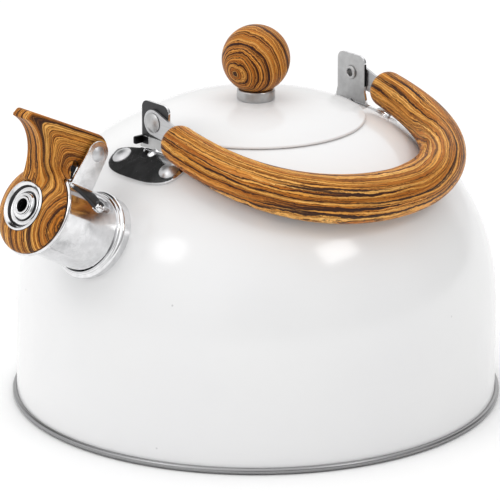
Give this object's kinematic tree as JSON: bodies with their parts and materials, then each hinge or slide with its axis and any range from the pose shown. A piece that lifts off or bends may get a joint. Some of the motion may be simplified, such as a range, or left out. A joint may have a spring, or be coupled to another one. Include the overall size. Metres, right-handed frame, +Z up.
{
  "type": "stovetop whistling kettle",
  "caption": "Domed white enamelled kettle with a flip-up whistle on its spout, a lift-off lid with a ball knob and a folding U-shaped wood-pattern handle.",
  "frame": {"origin": "middle of the base, on the plane the kettle stands on", "axes": "+Z up, the spout points to -X, the handle is stored folded down towards -Y and swings about an axis along X"},
  "size_m": [0.2496, 0.22, 0.1701],
  "materials": {
    "enamel": "gloss white enamel",
    "polished_steel": "polished stainless steel",
    "satin_steel": "satin stainless steel",
    "aluminium": "plain",
    "wood_print": "satin plastic with a zebra-wood print"
  },
  "bodies": {
    "kettle": {"body_shell": "enamel", "base_pan": "satin_steel", "heat_spreader": "aluminium", "base_cap": "satin_steel", "spout_tube": "polished_steel", "spout_collar": "polished_steel", "spout_bracket": "polished_steel", "whistle_pin": "polished_steel", "front_bracket": "polished_steel", "rear_bracket": "polished_steel", "front_bracket_rivets": "polished_steel", "rear_bracket_rivets": "polished_steel", "front_pivot_rivet": "polished_steel", "rear_pivot_rivet": "polished_steel"},
    "handle": {"front_arm": "polished_steel", "rear_arm": "polished_steel", "grip": "wood_print"},
    "whistle": {"whistle_lever": "wood_print", "whistle_front": "polished_steel", "whistle_back": "polished_steel"},
    "lid": {"lid_shell": "enamel", "lid_ring": "satin_steel", "knob_collar": "polished_steel", "knob": "wood_print", "knob_screw": "satin_steel"}
  },
  "joints": [
    {"name": "handle_fold", "type": "hinge", "parent": "kettle", "child": "handle", "pos_m": [0, 0, 0.1374], "axis": [-1, 0, 0], "range_deg": [0, 203]},
    {"name": "whistle_flip", "type": "hinge", "parent": "kettle", "child": "whistle", "pos_m": [-0.09851, 0, 0.13292], "axis": [0, 1, 0], "range_deg": [0, 75]},
    {"name": "lid_lift", "type": "slide", "parent": "kettle", "child": "lid", "axis": [0, 0, 1], "range_m": [0, 0.035]}
  ]
}
